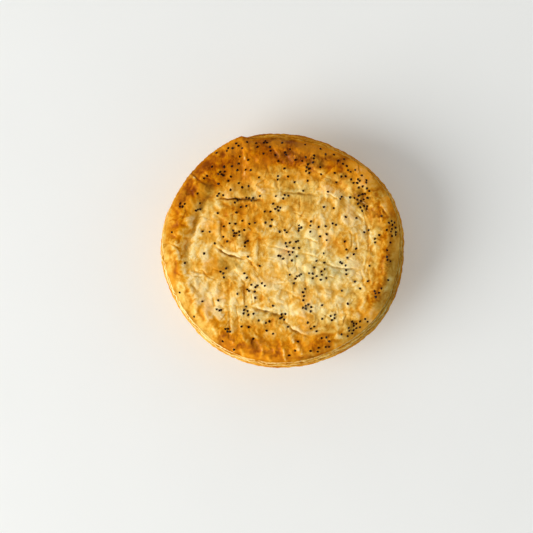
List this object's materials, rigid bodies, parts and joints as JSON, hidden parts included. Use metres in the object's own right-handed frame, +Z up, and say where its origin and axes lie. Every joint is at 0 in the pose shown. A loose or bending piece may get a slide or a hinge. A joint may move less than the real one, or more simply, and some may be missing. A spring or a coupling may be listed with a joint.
{
  "type": "beef pie",
  "caption": "Round individual meat pie, uncut: a tapered pastry case with a rolled rim and a puffed, browned, flaky lid strewn with poppy seeds.",
  "frame": {"origin": "on the table, under the middle of the pie's box", "axes": "+Z up, out of the lid; +X and +Y across the lid, with the open slit in the lid on the -X, +Y side"},
  "size_m": [0.1224, 0.118, 0.0383],
  "materials": {
    "baked_pastry": null
  },
  "bodies": {
    "root": {"pie": "baked_pastry"}
  },
  "joints": []
}
